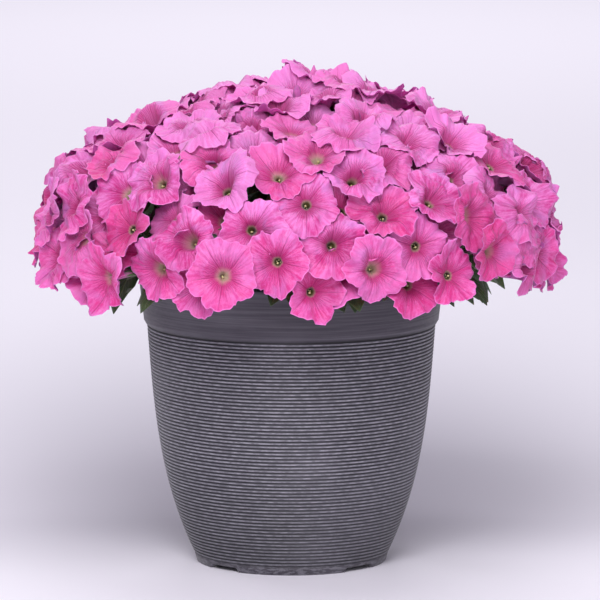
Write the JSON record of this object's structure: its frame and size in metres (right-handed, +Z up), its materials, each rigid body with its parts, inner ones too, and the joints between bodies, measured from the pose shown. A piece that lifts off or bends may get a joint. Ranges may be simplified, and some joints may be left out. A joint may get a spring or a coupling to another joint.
{
  "type": "potted petunia",
  "caption": "Free-standing round ribbed planter of petunias: a dense dome of pink five-lobed blooms on leafy stems over potting mix.",
  "frame": {"origin": "middle of the planter's foot, on the surface that it stands on", "axes": "+Z up along the planter's axis, -Y towards the picture's camera, +X to its right"},
  "size_m": [0.5126, 0.4939, 0.4832],
  "materials": {
    "planter_plastic": "matte",
    "potting_mix": "matte",
    "foliage": "satin",
    "petals": "satin"
  },
  "bodies": {
    "root": {"pot": "planter_plastic", "potting_mix": "potting_mix", "leafy_stem_01": "foliage", "leafy_stem_02": "foliage", "leafy_stem_03": "foliage", "leafy_stem_04": "foliage", "leafy_stem_05": "foliage", "leafy_stem_06": "foliage", "leafy_stem_07": "foliage", "leafy_stem_08": "foliage", "leafy_stem_09": "foliage", "leafy_stem_10": "foliage", "leafy_stem_11": "foliage", "leafy_stem_12": "foliage", "bloom_spray_01": "petals", "bloom_spray_02": "petals", "bloom_spray_03": "petals", "bloom_spray_04": "petals", "bloom_spray_05": "petals", "bloom_spray_06": "petals", "bloom_spray_07": "petals", "bloom_spray_08": "petals", "bloom_spray_09": "petals", "bloom_spray_10": "petals", "bloom_spray_11": "petals", "bloom_spray_12": "petals", "bloom_spray_13": "petals", "bloom_spray_14": "petals", "bloom_spray_15": "petals", "bloom_spray_16": "petals", "bloom_spray_17": "petals", "bloom_spray_18": "petals", "bloom_spray_19": "petals", "bloom_spray_20": "petals", "bloom_spray_21": "petals", "bloom_spray_22": "petals", "bloom_spray_23": "petals", "bloom_spray_24": "petals", "bloom_spray_25": "petals", "bloom_spray_26": "petals", "bloom_spray_27": "petals", "bloom_spray_28": "petals", "bloom_spray_29": "petals", "bloom_spray_30": "petals", "bloom_spray_31": "petals", "bloom_spray_32": "petals", "bloom_spray_33": "petals", "bloom_spray_34": "petals", "bloom_spray_35": "petals", "bloom_spray_36": "petals", "bloom_spray_37": "petals", "bloom_spray_38": "petals", "bloom_spray_39": "petals", "bloom_spray_40": "petals", "bloom_spray_41": "petals", "bloom_spray_42": "petals", "bloom_spray_43": "petals", "bloom_spray_44": "petals", "bloom_spray_45": "petals", "bloom_spray_46": "petals"}
  },
  "joints": []
}
